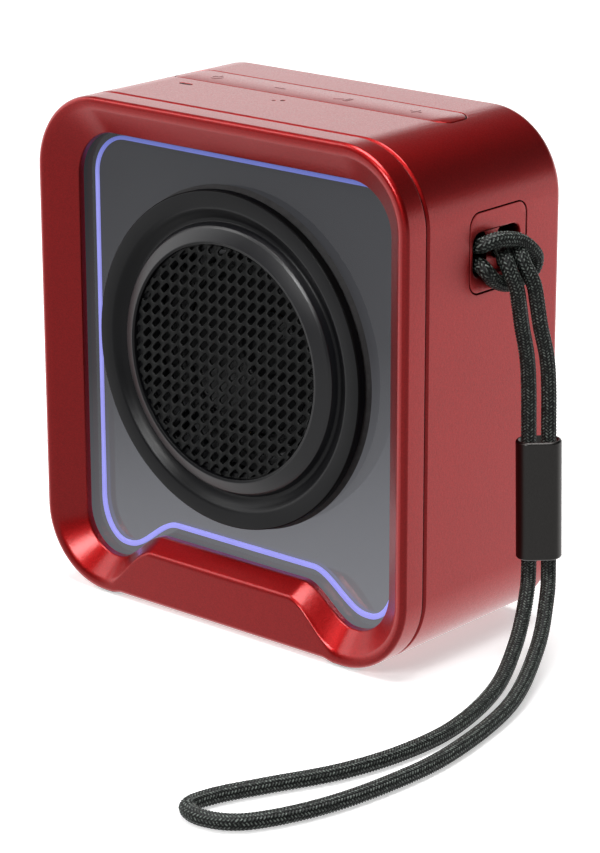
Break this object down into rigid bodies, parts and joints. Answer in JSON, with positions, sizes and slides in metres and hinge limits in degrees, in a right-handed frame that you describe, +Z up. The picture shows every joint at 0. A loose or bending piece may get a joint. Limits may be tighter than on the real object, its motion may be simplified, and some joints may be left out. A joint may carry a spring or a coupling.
{
  "type": "party speaker",
  "caption": "Pocket-size party speaker: rounded metallic box with a lit front window, round driver grille, top keys, rear bass radiator, port flap and a corded wrist lanyard.",
  "frame": {"origin": "on the resting plane, under the middle of the body, at the centre of the base_rest mount", "axes": "+Z up, -Y out of the front window, +X towards the side with the lanyard"},
  "size_m": [0.1206, 0.1147, 0.1],
  "materials": {
    "red_paint": "metallic red paint with a fine blasted grain",
    "clear_window": "clear gloss polycarbonate, slightly smoky",
    "light_line": "diffusing light guide, lit lavender blue",
    "lens_white": "milky light pipe",
    "grey_panel": "half-mirrored smoky grey",
    "circuit_board": "solder mask",
    "satin_black": "satin black moulding",
    "black_mesh": "black powder-coated expanded steel",
    "black_rubber": "matt silicone rubber",
    "plated_steel": "zinc-plated pressed steel",
    "black_steel": "blackened screws",
    "ferrite": "matt sintered ferrite",
    "black_plastic": "matt black moulding",
    "copper": "enamelled copper winding",
    "amber_cloth": "resin-stiffened cloth",
    "battery_wrap": "heat-shrink wrap",
    "cord": "charcoal braided cord with pale flecks",
    "gunmetal": "satin gunmetal anodising"
  },
  "bodies": {
    "body": {"front_bezel": "red_paint", "main_shell": "red_paint", "rear_cover": "red_paint", "lanyard_plate": "red_paint", "window_cover": "clear_window", "light_guide": "light_line", "status_lens": "lens_white", "led_1": "lens_white", "led_2": "lens_white", "led_3": "lens_white", "reflector_panel": "grey_panel", "led_board": "circuit_board", "main_board": "circuit_board", "button_board": "circuit_board", "trim_ring": "satin_black", "front_grille": "black_mesh", "rear_grille": "black_mesh", "trim_gasket": "black_rubber", "driver_surround": "black_rubber", "radiator_surround": "black_rubber", "foot_pad": "black_rubber", "driver_basket": "plated_steel", "top_plate": "plated_steel", "yoke": "plated_steel", "usb_socket": "plated_steel", "tact_switch_1": "plated_steel", "tact_switch_2": "plated_steel", "tact_switch_3": "plated_steel", "tact_switch_4": "plated_steel", "rear_screw_1": "black_steel", "rear_screw_2": "black_steel", "rear_screw_3": "black_steel", "rear_screw_4": "black_steel", "driver_screw_1": "black_steel", "driver_screw_2": "black_steel", "driver_screw_3": "black_steel", "driver_screw_4": "black_steel", "magnet": "ferrite", "baffle": "black_plastic", "lanyard_cup": "black_plastic", "driver_spider": "amber_cloth", "battery_cell": "battery_wrap", "lanyard_knot": "cord"},
    "cone": {"driver_cone": "black_plastic", "dust_cap": "black_plastic", "voice_coil": "copper"},
    "bass_plate": {"radiator_plate": "black_plastic"},
    "flap": {"port_flap": "black_rubber"},
    "power_key": {"key_power": "red_paint"},
    "down_key": {"key_down": "red_paint"},
    "play_key": {"key_play": "red_paint"},
    "up_key": {"key_up": "red_paint"},
    "power_plunger": {"tact_plunger_1": "black_plastic"},
    "down_plunger": {"tact_plunger_2": "black_plastic"},
    "play_plunger": {"tact_plunger_3": "black_plastic"},
    "up_plunger": {"tact_plunger_4": "black_plastic"},
    "tails": {"lanyard_tail_inner": "cord", "lanyard_tail_outer": "cord"},
    "loop": {"lanyard_cord": "cord"},
    "sleeve": {"lanyard_sleeve": "gunmetal"}
  },
  "joints": [
    {"name": "cone_stroke", "type": "slide", "parent": "body", "child": "cone", "axis": [0, 1, 0], "range_m": [-0.0015, 0.0015], "stiffness_N_per_m": 1200},
    {"name": "bass_plate_stroke", "type": "slide", "parent": "body", "child": "bass_plate", "axis": [0, 1, 0], "range_m": [-0.0018, 0.0018], "stiffness_N_per_m": 600},
    {"name": "flap_bend", "type": "hinge", "parent": "body", "child": "flap", "pos_m": [-0.0102, 0.0227, 0.017], "axis": [0, 0, 1], "range_deg": [0, 110]},
    {"name": "power_key_press", "type": "slide", "parent": "body", "child": "power_key", "axis": [0, 0, -1], "range_m": [0, 0.0003], "stiffness_N_per_m": 1500},
    {"name": "down_key_press", "type": "slide", "parent": "body", "child": "down_key", "axis": [0, 0, -1], "range_m": [0, 0.0003], "stiffness_N_per_m": 1500},
    {"name": "play_key_press", "type": "slide", "parent": "body", "child": "play_key", "axis": [0, 0, -1], "range_m": [0, 0.0003], "stiffness_N_per_m": 1500},
    {"name": "up_key_press", "type": "slide", "parent": "body", "child": "up_key", "axis": [0, 0, -1], "range_m": [0, 0.0003], "stiffness_N_per_m": 1500},
    {"name": "power_plunger_click", "type": "slide", "parent": "body", "child": "power_plunger", "axis": [0, 0, -1], "range_m": [0, 0.0003]},
    {"name": "down_plunger_click", "type": "slide", "parent": "body", "child": "down_plunger", "axis": [0, 0, -1], "range_m": [0, 0.0003]},
    {"name": "play_plunger_click", "type": "slide", "parent": "body", "child": "play_plunger", "axis": [0, 0, -1], "range_m": [0, 0.0003]},
    {"name": "up_plunger_click", "type": "slide", "parent": "body", "child": "up_plunger", "axis": [0, 0, -1], "range_m": [0, 0.0003]},
    {"name": "lanyard_swing", "type": "hinge", "parent": "body", "child": "tails", "pos_m": [0.0495, 0.004, 0.076], "axis": [0, -1, 0], "range_deg": [0, 60]},
    {"name": "lanyard_twist", "type": "hinge", "parent": "tails", "child": "loop", "pos_m": [0.0523, 0.0082, 0.06385], "axis": [0, 0, 1], "range_deg": [-25, 150]},
    {"name": "sleeve_slide", "type": "slide", "parent": "loop", "child": "sleeve", "axis": [0, -0.036, 0.9994], "range_m": [0, 0.01]}
  ],
  "couplings": [
    {"joint": "bass_plate_stroke", "follows": "cone_stroke", "ratio": 1.1},
    {"joint": "power_plunger_click", "follows": "power_key_press", "ratio": 1},
    {"joint": "down_plunger_click", "follows": "down_key_press", "ratio": 1},
    {"joint": "play_plunger_click", "follows": "play_key_press", "ratio": 1},
    {"joint": "up_plunger_click", "follows": "up_key_press", "ratio": 1}
  ]
}
